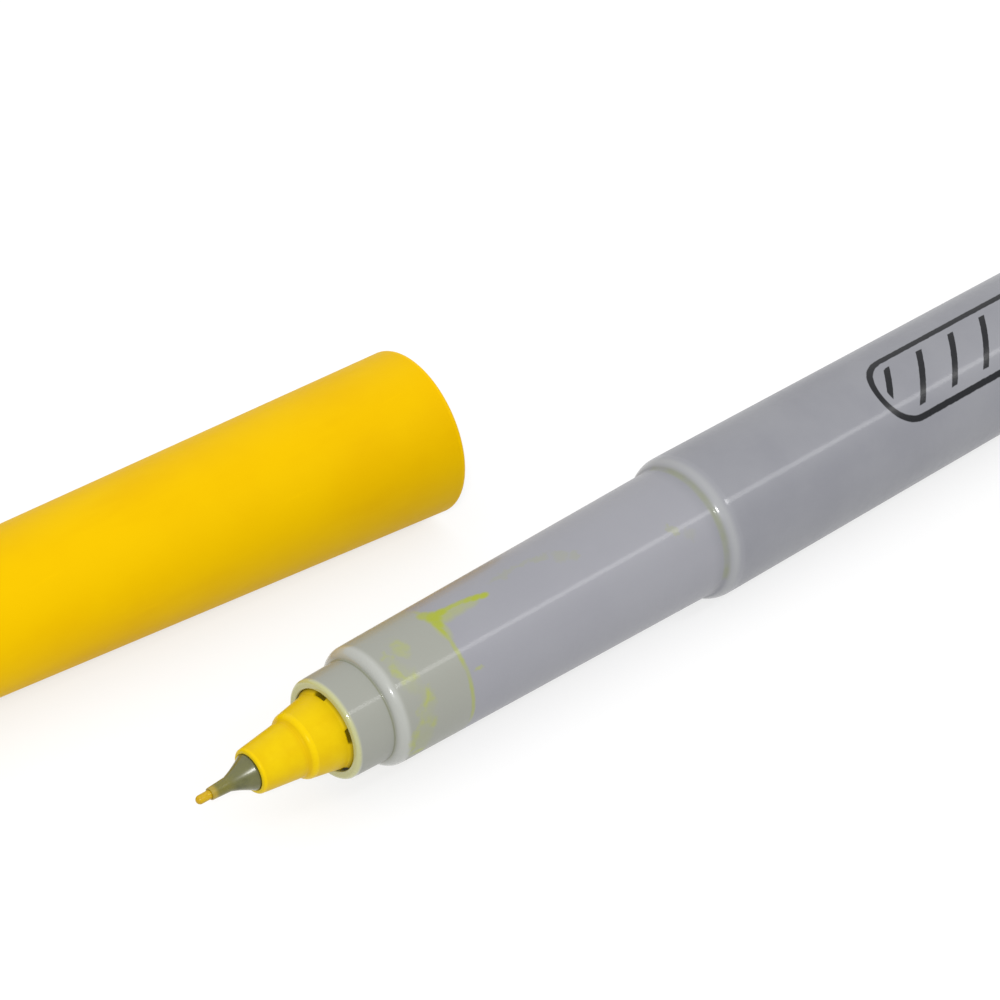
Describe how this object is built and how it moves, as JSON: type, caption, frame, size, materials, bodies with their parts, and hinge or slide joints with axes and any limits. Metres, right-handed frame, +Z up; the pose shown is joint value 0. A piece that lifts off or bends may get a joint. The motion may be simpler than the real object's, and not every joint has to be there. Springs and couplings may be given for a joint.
{
  "type": "fine-point marker pen",
  "caption": "Ultra fine point marker with a grey barrel, stepped nose and yellow nib holder, its yellow clip cap pulled off and lying beside it.",
  "frame": {"origin": "on the marker's axis, at the front end of the barrel's full diameter, just behind the rim that the cap stops against", "axes": "+X along the barrel towards its tail, +Z up; the nib points to -X, and the cap lies on the +Y side"},
  "size_m": [0.1442, 0.0366, 0.0121],
  "materials": {
    "barrel_grey": "semi-gloss moulded plastic",
    "plug_grey": "satin moulded plastic",
    "holder_yellow": "satin moulded plastic",
    "sleeve_olive": "translucent plastic wet with ink",
    "nib_yellow": "porous plastic wet with ink",
    "wick_felt": "bonded fibre soaked with ink",
    "core_fibre": "bonded fibre soaked with ink",
    "wrap_film": "thin clear film",
    "cap_yellow": "satin moulded plastic",
    "seal_yellow": "soft moulded plastic"
  },
  "bodies": {
    "marker": {"barrel": "barrel_grey", "end_plug": "plug_grey", "nib_holder": "holder_yellow", "nib_sleeve": "sleeve_olive", "nib": "nib_yellow", "feed_wick": "wick_felt", "reservoir_core": "core_fibre", "reservoir_wrap": "wrap_film"},
    "cap": {"cap_shell": "cap_yellow", "cap_inner_seal": "seal_yellow"},
    "clip": {"cap_clip": "cap_yellow"}
  },
  "joints": [
    {"name": "cap_carry", "type": "hinge", "parent": "marker", "child": "cap", "pos_m": [0.27823, -0.83436, 0], "axis": [0, 0, 1], "range_deg": [0, 3.72]},
    {"name": "clip_flex", "type": "hinge", "parent": "cap", "child": "clip", "pos_m": [-0.05186, 0.03005, -0.00191], "axis": [0.0243, 0.3738, 0.9272], "range_deg": [0, 4], "stiffness_Nm_per_rad": 0.3}
  ]
}
